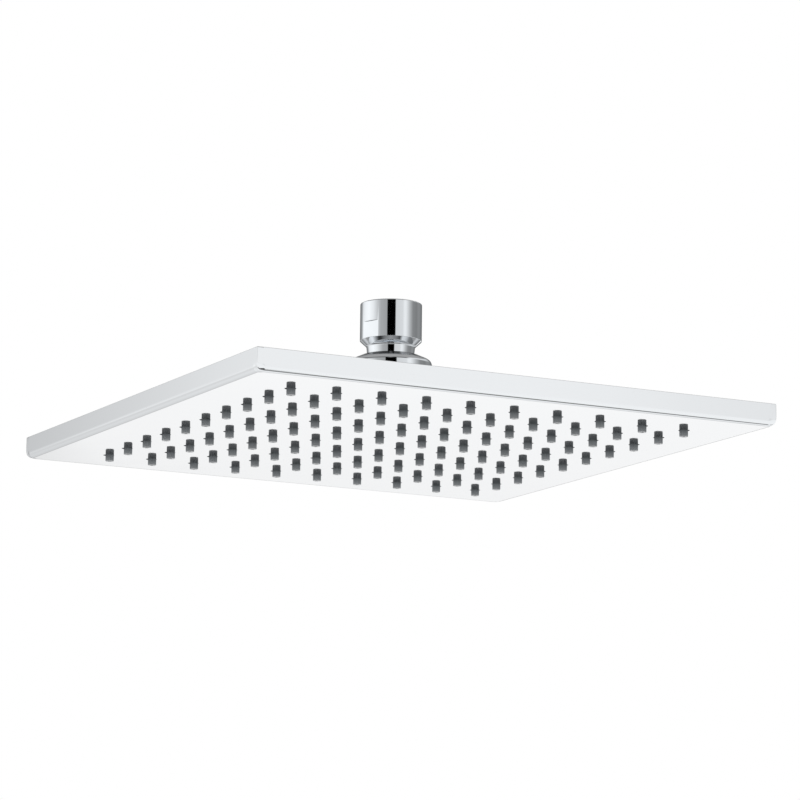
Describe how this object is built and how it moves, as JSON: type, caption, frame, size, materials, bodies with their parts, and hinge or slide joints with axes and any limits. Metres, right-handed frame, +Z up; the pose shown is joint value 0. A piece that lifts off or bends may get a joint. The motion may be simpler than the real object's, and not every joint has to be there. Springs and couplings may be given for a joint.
{
  "type": "square shower head",
  "caption": "Flat square rain shower head with a grid of soft nozzles, a ball swivel under a domed cap and a threaded inlet with spanner flats.",
  "frame": {"origin": "centre of the inlet's mouth", "axes": "+Z up out of the inlet, +X and +Y along the sides of the square head, which hangs below with its spray face down"},
  "size_m": [0.25, 0.25, 0.0664],
  "materials": {
    "connector_chrome": "polished",
    "head_chrome": "polished",
    "nozzle_silicone": "satin",
    "seal_rubber": "matte",
    "inner_plastic": "satin",
    "screen_steel": "satin",
    "nut_brass": "satin"
  },
  "bodies": {
    "inlet": {"swivel_connector": "connector_chrome", "inlet_washer": "seal_rubber", "filter_screen": "screen_steel", "flow_regulator": "inner_plastic", "regulator_ring": "seal_rubber"},
    "ball_ring": {"ball_o_ring": "seal_rubber"},
    "seat": {"ball_seat": "inner_plastic"},
    "head": {"retaining_cap": "connector_chrome", "cap_liner": "inner_plastic", "socket_body": "connector_chrome", "socket_gasket": "seal_rubber", "lock_washer": "screen_steel", "lock_nut": "nut_brass", "rear_cover": "head_chrome", "chamber_seal": "seal_rubber", "backing_plate": "inner_plastic", "backing_plate_screws": "screen_steel", "nozzle_mat": "nozzle_silicone", "front_shell": "head_chrome"}
  },
  "joints": [
    {"name": "swivel_turn", "type": "hinge", "parent": "inlet", "child": "ball_ring", "pos_m": [0, 0, -0.0325], "axis": [0, 0, 1], "continuous": true},
    {"name": "head_tilt", "type": "hinge", "parent": "ball_ring", "child": "seat", "pos_m": [0, 0, -0.0325], "axis": [1, 0, 0], "range_deg": [-8, 8]},
    {"name": "head_spin", "type": "hinge", "parent": "seat", "child": "head", "pos_m": [0, 0, -0.0325], "axis": [0, 0, 1], "continuous": true}
  ]
}
